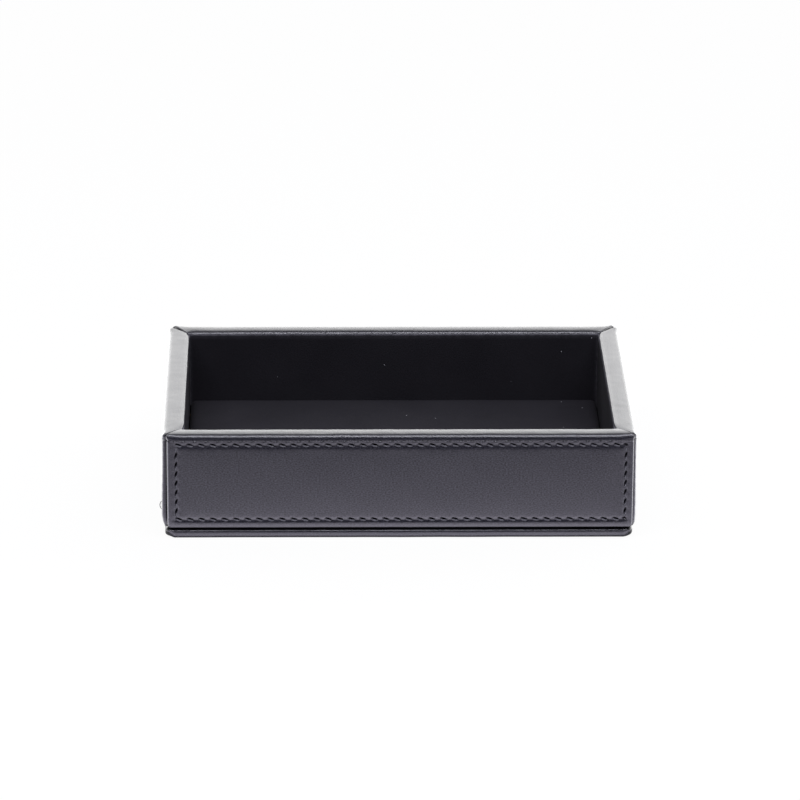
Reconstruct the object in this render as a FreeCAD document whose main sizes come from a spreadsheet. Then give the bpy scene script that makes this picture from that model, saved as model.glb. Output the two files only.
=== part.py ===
import FreeCAD, Part
import math
import os

import Sketcher

# Valet tray: four leather-wrapped, mitred wall panels on a leather-wrapped base plate, lined with
# velvet round a padded floor. Millimetres, +Z up, the long sides along X. The origin is the centre
# of the footprint, on the table. Nothing on it moves.

os.makedirs("parts", exist_ok=True)
doc = FreeCAD.newDocument("valet_tray")

# Driving dimensions
DIMENSIONS = [
    # whole tray
    ("width", 165.0),
    ("depth", 115.0),
    ("height", 39.2),
    # wall panel, from the outer face inwards
    ("leather", 1.0),
    ("wall_foam", 1.0),
    ("wall_board", 4.0),
    ("lining", 0.6),
    # rim and foot of a wall panel
    ("rim_inner_radius", 1.5),
    ("foot_radius", 0.9),
    ("mitre_radius", 0.7),
    ("seam_gap", 0.2),
    ("lining_drop", 1.0),
    ("lining_edge_radius", 0.25),
    # stitching on the outer faces
    ("groove_depth", 0.25),
    ("groove_width", 1.0),
    ("thread_width", 0.8),
    ("thread_height", 0.35),
    ("stitch_length", 3.0),
    ("upper_row_inset", 3.7),
    ("lower_row_inset", 3.3),
    ("column_inset", 4.0),
    ("long_row_count", 39),
    ("short_row_count", 27),
    ("column_count", 8),
    # base plate
    ("base_inset", 0.8),
    ("base_top", 4.3),
    ("base_edge_radius", 1.2),
    ("base_corner_radius", 1.6),
    ("base_leather", 0.7),
    ("base_turn_in", 12.0),
    ("felt_proud", 0.3),
    ("felt_inset", 4.0),
    # bottom and padded floor
    ("bottom_board", 3.0),
    ("floor_card", 1.5),
    ("floor_top", 13.7),
    ("floor_crown", 0.5),
    ("floor_edge_radius", 1.5),
    ("floor_corner_radius", 2.5),
    ("velvet", 0.8),
]

sheet = doc.addObject("Spreadsheet::Sheet", "Dims")
for row, (alias, value) in enumerate(DIMENSIONS, start=1):
    sheet.set(f"A{row}", alias)
    sheet.set(f"B{row}", str(value))
    sheet.setAlias(f"B{row}", alias)
doc.recompute()

# Levels and thicknesses that follow from the driving dimensions
RIM_RADIUS = "(Dims.leather + Dims.wall_foam)"
PANEL = "(2 * Dims.leather + Dims.wall_foam + Dims.wall_board)"
WALL = f"({PANEL} + Dims.lining)"
FOOT = "Dims.base_top"
CORE_BOTTOM = "(Dims.base_top + Dims.leather)"
CORE_TOP = "(Dims.height - Dims.leather)"
BOTTOM_BOARD_TOP = "(Dims.base_top + Dims.bottom_board)"
UPPER_ROW = "(Dims.height - Dims.upper_row_inset)"
LOWER_ROW = "(Dims.base_top + Dims.lower_row_inset)"
TIP_LENGTH = "(Dims.mitre_radius * (1 + sqrt(2)))"
OVERRUN = "3"

pieces = {}


def make_body(name, angle=0.0):
    """A body of its own for one piece, turned about the vertical axis through the tray's centre."""
    body = doc.addObject("PartDesign::Body", name)
    body.Label = name
    body.Placement = FreeCAD.Placement(FreeCAD.Vector(), FreeCAD.Rotation(FreeCAD.Vector(0, 0, 1), angle))
    return body


def arc_between(start, end, radius, side):
    """The short arc from start to end with its centre on the left (1) or right (-1) of the chord."""
    chord = end - start
    middle = (start + end) / 2
    across = FreeCAD.Vector(-chord.y, chord.x, 0).normalize()
    centre = middle + across * side * math.sqrt(radius ** 2 - (chord.Length / 2) ** 2)
    outwards = (middle - centre).normalize()
    return Part.Arc(start, centre + outwards * radius, end)


def make_sketch(body, name, role, outlines, offset=None):
    """A sketch on one of the body's own planes. An outline is a list of corners (x, y) as
    expressions; a corner (x, y, radius, side) starts an arc to the next corner instead of a line."""
    sketch = body.newObject("Sketcher::SketchObject", name)
    plane = next(item for item in body.Origin.OriginFeatures if item.Role == role)
    sketch.AttachmentSupport = (plane, [""])
    sketch.MapMode = "FlatFace"
    if offset:
        sketch.setExpression("AttachmentOffset.Base.z", offset)
    for outline in outlines:
        first = sketch.GeometryCount
        corners = [
            FreeCAD.Vector(body.evalExpression(corner[0]), body.evalExpression(corner[1]), 0)
            for corner in outline
        ]
        for index, corner in enumerate(outline):
            start, end = corners[index], corners[(index + 1) % len(corners)]
            if len(corner) == 2:
                sketch.addGeometry(Part.LineSegment(start, end), False)
                continue
            radius = float(body.evalExpression(corner[2]))
            sketch.addGeometry(arc_between(start, end, radius, corner[3]), False)
        for index, corner in enumerate(outline):
            edge = first + index
            following = first + (index + 1) % len(outline)
            start_point, end_point = 1, 2
            if len(corner) == 4 and corner[3] < 0:
                start_point, end_point = 2, 1
            next_start = 1
            next_corner = outline[(index + 1) % len(outline)]
            if len(next_corner) == 4 and next_corner[3] < 0:
                next_start = 2
            sketch.addConstraint(
                Sketcher.Constraint("Coincident", edge, end_point, following, next_start)
            )
            for kind, expression, value in (
                ("DistanceX", corner[0], corners[index].x),
                ("DistanceY", corner[1], corners[index].y),
            ):
                constraint = sketch.addConstraint(
                    Sketcher.Constraint(kind, -1, 1, edge, start_point, value)
                )
                sketch.setExpression(f"Constraints[{constraint}]", expression)
            if len(corner) == 4:
                radius = float(body.evalExpression(corner[2]))
                constraint = sketch.addConstraint(Sketcher.Constraint("Radius", edge, radius))
                sketch.setExpression(f"Constraints[{constraint}]", corner[2])
    return sketch


def extrude(body, kind, name, sketch, length, symmetric=False):
    """A pad or a pocket of a sketch."""
    feature = body.newObject(f"PartDesign::{kind}", name)
    feature.Profile = sketch
    feature.setExpression("Length", length)
    if symmetric:
        feature.SideType = "Symmetric"
    return feature


def mirrored(outline):
    """The same outline on the other side of the sketch's vertical axis."""
    corners = []
    for corner in outline:
        flipped = (f"-({corner[0]})",) + tuple(corner[1:3])
        corners.append(flipped + ((-corner[3],) if len(corner) == 4 else ()))
    return corners


def mitre_ends(body, run, stand_off, set_back):
    """Cuts both ends of a wall piece at 45 degrees, set back from the corner's mitre plane."""
    before = f"(-({run}) / 2 + {set_back})"
    outline = [
        (f"{before} - {OVERRUN}", f"-({stand_off}) - {OVERRUN}"),
        (f"{before} + {WALL} + {OVERRUN}", f"-({stand_off}) + {WALL} + {OVERRUN}"),
        (f"{before} - 2 * {OVERRUN}", f"-({stand_off}) + {WALL} + {OVERRUN}"),
        (f"{before} - 2 * {OVERRUN}", f"-({stand_off}) - {OVERRUN}"),
    ]
    sketch = make_sketch(body, f"{body.Name}_mitre_plan", "XY_Plane", [outline, mirrored(outline)])
    return extrude(body, "Pocket", f"{body.Name}_mitre", sketch, "3 * Dims.height", symmetric=True)


def mitre_rounded_ends(body, run, stand_off):
    """Cuts both ends of a wrapped panel at 45 degrees, with the leather rounding the sharp tip."""
    tip_x, tip_y = f"(-({run}) / 2)", f"(-({stand_off}))"
    outline = [
        (f"{tip_x} + {TIP_LENGTH}", tip_y, "Dims.mitre_radius", -1),
        (f"{tip_x} + {TIP_LENGTH} * sqrt(0.5)", f"{tip_y} + {TIP_LENGTH} * sqrt(0.5)"),
        (f"{tip_x} + {WALL} + {OVERRUN}", f"{tip_y} + {WALL} + {OVERRUN}"),
        (f"{tip_x} - {OVERRUN}", f"{tip_y} + {WALL} + {OVERRUN}"),
        (f"{tip_x} - {OVERRUN}", f"{tip_y} - {OVERRUN}"),
        (f"{tip_x} + {TIP_LENGTH}", f"{tip_y} - {OVERRUN}"),
    ]
    sketch = make_sketch(body, f"{body.Name}_mitre_plan", "XY_Plane", [outline, mirrored(outline)])
    return extrude(body, "Pocket", f"{body.Name}_mitre", sketch, "3 * Dims.height", symmetric=True)


def wall_piece(name, angle, run, stand_off, corners):
    """A wall piece as a bar along X with its section in the YZ plane. In the corners, the first
    number is the distance inwards from the wall's outer face."""
    body = make_body(name, angle)
    section = [(f"{corner[0]} - ({stand_off})",) + tuple(corner[1:]) for corner in corners]
    sketch = make_sketch(body, f"{name}_section", "YZ_Plane", [section])
    extrude(body, "Pad", f"{name}_bar", sketch, run, symmetric=True)
    return body


def wall_board(side, angle, run, stand_off):
    """Fibreboard core, behind the foam, with its inner top edge eased for the leather."""
    inner = f"({RIM_RADIUS} + Dims.wall_board)"
    ease = "(Dims.rim_inner_radius - Dims.leather)"
    body = wall_piece(f"{side}_board", angle, run, stand_off, [
        (RIM_RADIUS, CORE_BOTTOM),
        (RIM_RADIUS, CORE_TOP),
        (f"{inner} - {ease}", CORE_TOP, ease, -1),
        (inner, f"{CORE_TOP} - {ease}"),
        (inner, CORE_BOTTOM),
    ])
    mitre_ends(body, run, stand_off, "Dims.leather * sqrt(2)")
    return body


def wall_padding(side, angle, run, stand_off):
    """Thin foam on the board's outer face, rounded at the top where the leather turns over."""
    body = wall_piece(f"{side}_padding", angle, run, stand_off, [
        ("Dims.leather", CORE_BOTTOM),
        ("Dims.leather", f"{CORE_TOP} - Dims.wall_foam", "Dims.wall_foam", -1),
        (RIM_RADIUS, CORE_TOP),
        (RIM_RADIUS, CORE_BOTTOM),
    ])
    mitre_ends(body, run, stand_off, "Dims.leather * sqrt(2)")
    return body


def stitch_groove(body, run, stand_off):
    """The shallow channel that the tight stitches pull into the leather, all round the face."""
    outlines = []
    for spread in ("Dims.groove_width / 2", "-Dims.groove_width / 2"):
        side = f"(({run}) / 2 - Dims.column_inset + {spread})"
        low = f"({LOWER_ROW} - {spread})"
        high = f"({UPPER_ROW} + {spread})"
        outlines.append([(f"-{side}", low), (side, low), (side, high), (f"-{side}", high)])
    sketch = make_sketch(body, f"{body.Name}_groove_plan", "XZ_Plane", outlines, offset=stand_off)
    return extrude(body, "Pocket", f"{body.Name}_groove", sketch, "Dims.groove_depth")


def wall_cover(side, angle, run, stand_off, board, padding):
    """Leather wrapped round board and foam. Its edges meet in a narrow seam under the panel."""
    blank = wall_piece(f"{side}_cover_blank", angle, run, stand_off, [
        ("Dims.foot_radius", FOOT, "Dims.foot_radius", -1),
        ("0", f"{FOOT} + Dims.foot_radius"),
        ("0", f"Dims.height - {RIM_RADIUS}", RIM_RADIUS, -1),
        (RIM_RADIUS, "Dims.height"),
        (f"{PANEL} - Dims.rim_inner_radius", "Dims.height", "Dims.rim_inner_radius", -1),
        (PANEL, "Dims.height - Dims.rim_inner_radius"),
        (PANEL, FOOT),
    ])
    mitre_rounded_ends(blank, run, stand_off)
    stitch_groove(blank, run, stand_off)
    seam = wall_piece(f"{side}_cover_seam", angle, f"({run}) - 4 * {WALL}", stand_off, [
        (f"{PANEL} - Dims.leather - Dims.seam_gap", f"{FOOT} - Dims.leather"),
        (f"{PANEL} - Dims.leather - Dims.seam_gap", CORE_BOTTOM),
        (f"{PANEL} - Dims.leather", CORE_BOTTOM),
        (f"{PANEL} - Dims.leather", f"{FOOT} - Dims.leather"),
    ])
    core = doc.addObject("Part::MultiFuse", f"{side}_cover_core")
    core.Shapes = [board, padding, seam]
    cover = doc.addObject("Part::Cut", f"{side}_cover")
    cover.Base = blank
    cover.Tool = core
    return cover


def wall_lining(side, angle, run, stand_off):
    """Velvet-faced card inside the wall, from the bottom board to just under the rim."""
    top = "(Dims.height - Dims.lining_drop)"
    edge = "Dims.lining_edge_radius"
    body = wall_piece(f"{side}_lining", angle, run, stand_off, [
        (PANEL, BOTTOM_BOARD_TOP),
        (PANEL, f"{top} - {edge}", edge, -1),
        (f"{PANEL} + {edge}", top),
        (f"{WALL} - {edge}", top, edge, -1),
        (WALL, f"{top} - {edge}"),
        (WALL, BOTTOM_BOARD_TOP),
    ])
    mitre_ends(body, run, stand_off, "0")
    return body


def stitch_line(body, name, role, section, start, count, spacing):
    """One straight line of stitches: a half-round stitch, repeated along the line."""
    sketch = make_sketch(body, f"{name}_section", role, [section], offset=start)
    stitch = extrude(body, "Pad", f"{name}_stitch", sketch, "Dims.stitch_length", symmetric=True)
    pattern = body.newObject("PartDesign::LinearPattern", f"{name}_line")
    pattern.Originals = [stitch]
    pattern.Direction = (sketch, ["N_Axis"])
    pattern.setExpression("Length", f"({count} - 1) * {spacing}")
    pattern.setExpression("Occurrences", count)
    body.Tip = pattern


def wall_stitching(side, angle, run, stand_off, row_count):
    """Thread on the outer face: an upper and a lower row, and a column by each corner."""
    body = make_body(f"{side}_stitching", angle)
    body.AllowCompound = True
    half = "Dims.thread_width / 2"
    floor = f"(Dims.groove_depth - ({stand_off}))"
    bow = "((Dims.thread_width ^ 2 / 4 + Dims.thread_height ^ 2) / (2 * Dims.thread_height))"
    row_spacing = f"((({run}) - 2 * Dims.column_inset) / {row_count})"
    column_spacing = f"(({UPPER_ROW} - {LOWER_ROW}) / Dims.column_count)"
    for name, level in (("upper", UPPER_ROW), ("lower", LOWER_ROW)):
        section = [(floor, f"{level} - {half}", bow, -1), (floor, f"{level} + {half}")]
        start = f"-({row_count} - 1) / 2 * {row_spacing}"
        stitch_line(body, f"{side}_{name}", "YZ_Plane", section, start, row_count, row_spacing)
    for name, sign in (("first", "-1"), ("last", "1")):
        place = f"({sign} * (({run}) / 2 - Dims.column_inset))"
        section = [(f"{place} + {half}", floor, bow, -1), (f"{place} - {half}", floor)]
        start = f"{LOWER_ROW} + {column_spacing} / 2"
        stitch_line(
            body, f"{side}_{name}", "XY_Plane", section, start, "Dims.column_count", column_spacing
        )
    return body


def rectangle(half_x, half_y):
    """Corners of a rectangle about the sketch's origin."""
    return [
        (f"-{half_x}", f"-{half_y}"),
        (half_x, f"-{half_y}"),
        (half_x, half_y),
        (f"-{half_x}", half_y),
    ]


def rounded_plate(name, half_x, half_y, corner, bottom, thickness):
    """A flat rectangular plate with rounded corners, lying flat at a level."""
    body = make_body(name)
    outline = [
        (f"-{half_x} + {corner}", f"-{half_y}"),
        (f"{half_x} - {corner}", f"-{half_y}", corner, 1),
        (half_x, f"-{half_y} + {corner}"),
        (half_x, f"{half_y} - {corner}", corner, 1),
        (f"{half_x} - {corner}", half_y),
        (f"-{half_x} + {corner}", half_y, corner, 1),
        (f"-{half_x}", f"{half_y} - {corner}"),
        (f"-{half_x}", f"-{half_y} + {corner}", corner, 1),
    ]
    sketch = make_sketch(body, f"{name}_plan", "XY_Plane", [outline], offset=bottom)
    extrude(body, "Pad", f"{name}_plate", sketch, thickness)
    return body


def plain_plate(name, half_x, half_y, bottom, thickness):
    """A flat rectangular plate with square corners, lying flat at a level."""
    body = make_body(name)
    sketch = make_sketch(body, f"{name}_plan", "XY_Plane", [rectangle(half_x, half_y)], offset=bottom)
    extrude(body, "Pad", f"{name}_plate", sketch, thickness)
    return body


def round_edges(body, name, radius, levels):
    """Rounds the edges of a plate that lie wholly at the given levels."""
    doc.recompute()
    last = body.Tip
    heights = [float(body.evalExpression(level)) for level in levels]
    edges = []
    for number, edge in enumerate(last.Shape.Edges, start=1):
        box = edge.BoundBox
        if any(abs(box.ZMin - z) < 0.01 and abs(box.ZMax - z) < 0.01 for z in heights):
            edges.append(f"Edge{number}")
    fillet = body.newObject("PartDesign::Fillet", name)
    fillet.Base = (last, edges)
    fillet.setExpression("Radius", radius)
    return fillet


# Base plate: a board wrapped in leather that is turned in underneath, with felt over the turn-in
BASE_HALF_X = "(Dims.width / 2 - Dims.base_inset)"
BASE_HALF_Y = "(Dims.depth / 2 - Dims.base_inset)"
BASE_BOARD_BOTTOM = "(Dims.felt_proud + Dims.base_leather)"
BASE_BOARD = f"(Dims.base_top - Dims.base_leather - {BASE_BOARD_BOTTOM})"


def make_base_board():
    return plain_plate(
        "base_board",
        f"({BASE_HALF_X} - Dims.base_leather)",
        f"({BASE_HALF_Y} - Dims.base_leather)",
        BASE_BOARD_BOTTOM,
        BASE_BOARD,
    )


def make_base_cover():
    body = rounded_plate(
        "base_cover", BASE_HALF_X, BASE_HALF_Y, "Dims.base_corner_radius",
        "Dims.felt_proud", "Dims.base_top - Dims.felt_proud",
    )
    round_edges(body, "base_cover_edges", "Dims.base_edge_radius", ["Dims.felt_proud", "Dims.base_top"])
    board_plan = make_sketch(
        body, "base_cover_board_plan", "XY_Plane",
        [rectangle(f"({BASE_HALF_X} - Dims.base_leather)", f"({BASE_HALF_Y} - Dims.base_leather)")],
        offset=f"{BASE_BOARD_BOTTOM} + {BASE_BOARD}",
    )
    extrude(body, "Pocket", "base_cover_board_space", board_plan, BASE_BOARD)
    window_plan = make_sketch(
        body, "base_cover_window_plan", "XY_Plane",
        [rectangle(f"({BASE_HALF_X} - Dims.base_turn_in)", f"({BASE_HALF_Y} - Dims.base_turn_in)")],
        offset=BASE_BOARD_BOTTOM,
    )
    extrude(body, "Pocket", "base_cover_window", window_plan, "Dims.base_leather")
    return body


def make_base_felt():
    body = plain_plate(
        "base_felt",
        f"({BASE_HALF_X} - Dims.felt_inset)",
        f"({BASE_HALF_Y} - Dims.felt_inset)",
        "0",
        "Dims.felt_proud",
    )
    window_plan = make_sketch(
        body, "base_felt_window_plan", "XY_Plane",
        [rectangle(f"({BASE_HALF_X} - Dims.base_turn_in)", f"({BASE_HALF_Y} - Dims.base_turn_in)")],
        offset="Dims.felt_proud",
    )
    extrude(body, "Pad", "base_felt_window", window_plan, "Dims.base_leather")
    return body


# Bottom board between the walls, and the padded floor that lies on it between the linings
FLOOR_HALF_X = f"(Dims.width / 2 - {WALL})"
FLOOR_HALF_Y = f"(Dims.depth / 2 - {WALL})"
FLOOR_CARD_TOP = f"({BOTTOM_BOARD_TOP} + Dims.floor_card)"


def make_bottom_board():
    return plain_plate(
        "bottom_board", f"(Dims.width / 2 - {PANEL})", f"(Dims.depth / 2 - {PANEL})",
        FOOT, "Dims.bottom_board",
    )


def make_floor_card():
    return rounded_plate(
        "floor_card", f"({FLOOR_HALF_X} - Dims.velvet)", f"({FLOOR_HALF_Y} - Dims.velvet)",
        "(Dims.floor_corner_radius - Dims.velvet)", BOTTOM_BOARD_TOP, "Dims.floor_card",
    )


def crowned_pad(name, inset, bottom, top):
    """A pad with a slightly domed top and rounded edges, inset all round from the full floor."""
    half_x, half_y = f"({FLOOR_HALF_X} - {inset})", f"({FLOOR_HALF_Y} - {inset})"
    corner_radius = f"(Dims.floor_corner_radius - {inset})"
    edge_radius = f"(Dims.floor_edge_radius - {inset})"
    body = rounded_plate(name, half_x, half_y, corner_radius, bottom, f"({top}) - ({bottom})")
    edge_level = f"({top} - Dims.floor_crown)"
    for role, half, other_half in (("XZ_Plane", half_x, half_y), ("YZ_Plane", half_y, half_x)):
        flat = f"({half} - {edge_radius})"
        dome = f"(({flat} ^ 2 + Dims.floor_crown ^ 2) / (2 * Dims.floor_crown))"
        above = [
            (f"-{half}", f"{edge_level} - {edge_radius}", edge_radius, -1),
            (f"-{flat}", edge_level, dome, -1),
            (flat, edge_level, edge_radius, -1),
            (half, f"{edge_level} - {edge_radius}"),
            (f"{half} + {OVERRUN}", f"{edge_level} - {edge_radius}"),
            (f"{half} + {OVERRUN}", f"{top} + {OVERRUN}"),
            (f"-{half} - {OVERRUN}", f"{top} + {OVERRUN}"),
            (f"-{half} - {OVERRUN}", f"{edge_level} - {edge_radius}"),
        ]
        direction = role[:2].lower()
        sketch = make_sketch(body, f"{name}_{direction}_crown_section", role, [above])
        extrude(
            body, "Pocket", f"{name}_{direction}_crown", sketch,
            f"2 * {other_half} + 2 * {OVERRUN}", symmetric=True,
        )
    return body


def make_floor_foam():
    return crowned_pad(
        "floor_foam", "Dims.velvet", FLOOR_CARD_TOP, "Dims.floor_top - Dims.velvet"
    )


def make_floor_lining(card, foam):
    blank = crowned_pad("floor_lining_blank", "0", BOTTOM_BOARD_TOP, "Dims.floor_top")
    inside = doc.addObject("Part::MultiFuse", "floor_lining_inside")
    inside.Shapes = [card, foam]
    lining = doc.addObject("Part::Cut", "floor_lining")
    lining.Base = blank
    lining.Tool = inside
    return lining


def keep(piece):
    """Counts a finished object as one of the tray's pieces, under its own name."""
    piece.Label = piece.Name
    pieces[piece.Name] = piece
    return piece


for make in (make_base_board, make_base_cover, make_base_felt, make_bottom_board):
    keep(make())
floor_card = keep(make_floor_card())
floor_foam = keep(make_floor_foam())
keep(make_floor_lining(floor_card, floor_foam))

# The four walls: the same pieces turned about the centre, long ones and short ones
LONG = ("Dims.width", "Dims.depth / 2", "Dims.long_row_count")
SHORT = ("Dims.depth", "Dims.width / 2", "Dims.short_row_count")
WALLS = (("front", 0, LONG), ("right", 90, SHORT), ("back", 180, LONG), ("left", 270, SHORT))
for side, angle, (run, stand_off, row_count) in WALLS:
    board = keep(wall_board(side, angle, run, stand_off))
    padding = keep(wall_padding(side, angle, run, stand_off))
    keep(wall_cover(side, angle, run, stand_off, board, padding))
    keep(wall_lining(side, angle, run, stand_off))
    keep(wall_stitching(side, angle, run, stand_off, row_count))

# Every object must have come out sound before anything is written
doc.recompute()
for item in doc.Objects:
    if "Invalid" in item.State or "Error" in item.State:
        raise RuntimeError(f"{item.Name} failed: {item.State}")
for name, piece in pieces.items():
    if piece.Shape.isNull() or not piece.Shape.isValid():
        raise RuntimeError(f"{name} has no valid shape")

for name, piece in pieces.items():
    piece.Shape.exportStep(f"parts/{name}.step")
    box = piece.Shape.BoundBox
    print(
        f"{name}: {len(piece.Shape.Solids)} solids, {piece.Shape.Volume:.0f} mm3, "
        f"x {box.XMin:.2f} to {box.XMax:.2f}, y {box.YMin:.2f} to {box.YMax:.2f}, "
        f"z {box.ZMin:.2f} to {box.ZMax:.2f}"
    )
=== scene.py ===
import math

import bmesh
import bpy
import numpy as np
from mathutils import Matrix, Vector


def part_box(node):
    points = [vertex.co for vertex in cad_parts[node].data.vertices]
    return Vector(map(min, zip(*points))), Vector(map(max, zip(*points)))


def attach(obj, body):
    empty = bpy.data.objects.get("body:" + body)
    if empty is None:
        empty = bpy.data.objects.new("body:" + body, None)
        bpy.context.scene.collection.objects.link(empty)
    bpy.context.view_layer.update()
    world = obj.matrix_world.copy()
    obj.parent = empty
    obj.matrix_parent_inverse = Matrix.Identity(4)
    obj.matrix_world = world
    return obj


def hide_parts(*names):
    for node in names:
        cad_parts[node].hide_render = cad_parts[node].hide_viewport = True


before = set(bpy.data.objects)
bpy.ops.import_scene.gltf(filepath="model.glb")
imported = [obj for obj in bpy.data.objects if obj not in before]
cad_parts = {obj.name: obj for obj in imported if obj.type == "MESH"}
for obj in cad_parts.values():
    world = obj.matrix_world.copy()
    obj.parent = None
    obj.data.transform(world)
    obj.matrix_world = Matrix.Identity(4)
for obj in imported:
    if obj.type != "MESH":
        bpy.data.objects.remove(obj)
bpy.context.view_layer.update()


# Boards, card and foam
# The hidden pieces that carry everything: fibreboard in the walls and the base, greyboard under the
# floor pad, and thin foam that swells the walls and the floor. All are matt and finely speckled.
MM = 0.001


def linear(hex_colour):
    """The linear colour of an sRGB hex value."""
    parts = [int(hex_colour[index:index + 2], 16) / 255 for index in (1, 3, 5)]
    return tuple(p / 12.92 if p <= 0.04045 else ((p + 0.055) / 1.055) ** 2.4 for p in parts) + (1.0,)


def node(tree, kind, inputs=None, **settings):
    """Adds a node with its settings, and its inputs as values or as links from other sockets."""
    made = tree.nodes.new(kind)
    for name, value in settings.items():
        setattr(made, name, value)
    for name, value in (inputs or {}).items():
        if isinstance(value, bpy.types.NodeSocket):
            tree.links.new(value, made.inputs[name])
        else:
            made.inputs[name].default_value = value
    return made


def surface(name, colour, roughness, normal, **settings):
    """A material with one Principled shader. Linked or constant values go on its own sockets."""
    material = bpy.data.materials.new(name)
    material.use_nodes = True
    tree = material.node_tree
    shader = tree.nodes["Principled BSDF"]
    relief = normal(tree)
    tree.links.new(relief, shader.inputs["Normal"])
    tree.links.new(relief, shader.inputs["Coat Normal"])
    for socket, value in {"Base Color": colour, "Roughness": roughness, **settings}.items():
        if callable(value):
            tree.links.new(value(tree), shader.inputs[socket])
        else:
            shader.inputs[socket].default_value = value
    return material


def pattern_size(size):
    """The texture scale at which a feature of this size in millimetres comes out true."""
    return 1 / (size * MM)


def speckled(first, second, size):
    """A colour that wanders between two, in patches of a size in millimetres."""
    def build(tree):
        place = node(tree, "ShaderNodeTexCoord").outputs["Object"]
        noise = node(tree, "ShaderNodeTexNoise", {
            "Vector": place, "Scale": pattern_size(size), "Detail": 4.0,
        })
        return node(tree, "ShaderNodeMix", {
            "Factor": noise.outputs["Fac"], "A": linear(first), "B": linear(second),
        }, data_type="RGBA").outputs["Result"]
    return build


def noise_relief(size, depth):
    """A bumpy surface with features of a size and a depth in millimetres."""
    def build(tree):
        place = node(tree, "ShaderNodeTexCoord").outputs["Object"]
        noise = node(tree, "ShaderNodeTexNoise", {
            "Vector": place, "Scale": pattern_size(size), "Detail": 3.0,
        })
        return node(tree, "ShaderNodeBump", {
            "Height": noise.outputs["Fac"], "Distance": depth * MM,
        }).outputs["Normal"]
    return build


fibreboard = surface(
    "pressed_fibreboard", speckled("#8a6f52", "#a98c6a", 0.8), 0.85, noise_relief(0.4, 0.05)
)
greyboard = surface("greyboard", speckled("#8d8a84", "#a19e97", 1.2), 0.9, noise_relief(0.5, 0.04))
foam = surface("open_cell_foam", speckled("#d9d6cc", "#e8e5dd", 1.5), 0.95, noise_relief(0.6, 0.2))

SIDES = ("front", "right", "back", "left")
for names, finish in (
    ([f"{side}_board" for side in SIDES] + ["bottom_board"], fibreboard),
    (["floor_card"], greyboard),
    ([f"{side}_padding" for side in SIDES] + ["floor_foam"], foam),
):
    for name in names:
        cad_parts[name].data.materials.clear()
        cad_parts[name].data.materials.append(finish)


# Leather
# Chrome-tanned black cowhide with a smooth, lightly embossed grain and a thin finish coat: nearly
# black face on, with a soft shine that grows strong at a low angle.
CREASE = 0.32          # height of one crease of the grain, mm
CREASE_STRETCH = 0.5   # height of a crease against its length
CREASE_DEPTH = 0.06    # mm
CREASE_RANGE = {"From Min": 0.3, "From Max": 0.7}   # the noise at the bottom and top of a crease
CREASE_SHINE = 0.7     # how much of the finish coat is left in the creases
PORE = 0.2             # pores between the creases, mm, drawn just coarse enough to show
PORE_DEPTH = 0.02      # mm
HANDLING = 16.0        # width of the duller and shinier patches, mm
HANDLED_ROUGHNESS = {"To Min": 0.26, "To Max": 0.36}


def creases(tree):
    """The height of the grain: short creases that lie along each piece."""
    place = node(tree, "ShaderNodeUVMap", uv_map="hide").outputs["UV"]
    return node(tree, "ShaderNodeTexNoise", {
        "Vector": place, "Scale": pattern_size(CREASE), "Detail": 3.0, "Roughness": 0.6,
    }).outputs["Fac"]


def leather_colour(tree):
    """Black with a blue cast, with painted shade in creases, holes and the gap, painted highlights on
    folded corners, greyer where rubbed.
    """
    # The creases are painted darker, as their shade
    crease_shade = node(tree, "ShaderNodeMapRange", {"Value": creases(tree), **CREASE_RANGE})
    base = node(tree, "ShaderNodeMix", {
        "Factor": crease_shade.outputs["Result"], "A": linear("#020203"), "B": linear("#34333e"),
    }, data_type="RGBA")
    # Lighter where the leather is rubbed along the mitres, and on the crest of each folded corner, a
    # painted highlight
    wear_and_highlight = node(tree, "ShaderNodeAttribute", attribute_name="wear_and_highlight")
    worn = node(tree, "ShaderNodeMix", {
        "Factor": wear_and_highlight.outputs["Fac"], "A": base.outputs["Result"], "B": linear("#86858d"),
    }, data_type="RGBA")
    # Near black in the needle holes and in the gap under the walls: painted shade
    hole = node(tree, "ShaderNodeAttribute", attribute_name="hole")
    return node(tree, "ShaderNodeMix", {
        "Factor": hole.outputs["Fac"], "A": worn.outputs["Result"], "B": linear("#050506"),
    }, data_type="RGBA").outputs["Result"]


def shine(tree):
    """The finish coat is thinner in the creases and missing inside the needle holes and the gap, which are
    also painted near black as shade.
    """
    thickness = node(tree, "ShaderNodeMapRange", {
        "Value": creases(tree), "To Min": CREASE_SHINE, **CREASE_RANGE,
    })
    hole = node(tree, "ShaderNodeAttribute", attribute_name="hole")
    solid = node(tree, "ShaderNodeMath", {0: 1.0, 1: hole.outputs["Fac"]}, operation="SUBTRACT")
    return node(tree, "ShaderNodeMath", {
        0: thickness.outputs["Result"], 1: solid.outputs[0],
    }, operation="MULTIPLY").outputs[0]


def half_shine(tree):
    """The leather under the coat shines half as much."""
    return node(tree, "ShaderNodeMath", {0: shine(tree), 1: 0.5}, operation="MULTIPLY").outputs[0]


def leather_roughness(tree):
    """Shinier and duller patches from handling."""
    place = node(tree, "ShaderNodeTexCoord").outputs["Object"]
    patches = node(tree, "ShaderNodeTexNoise", {
        "Vector": place, "Scale": pattern_size(HANDLING / 2), "Detail": 3.0,
    })
    return node(tree, "ShaderNodeMapRange", {
        "Value": patches.outputs["Fac"], **HANDLED_ROUGHNESS,
    }).outputs["Result"]


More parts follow.
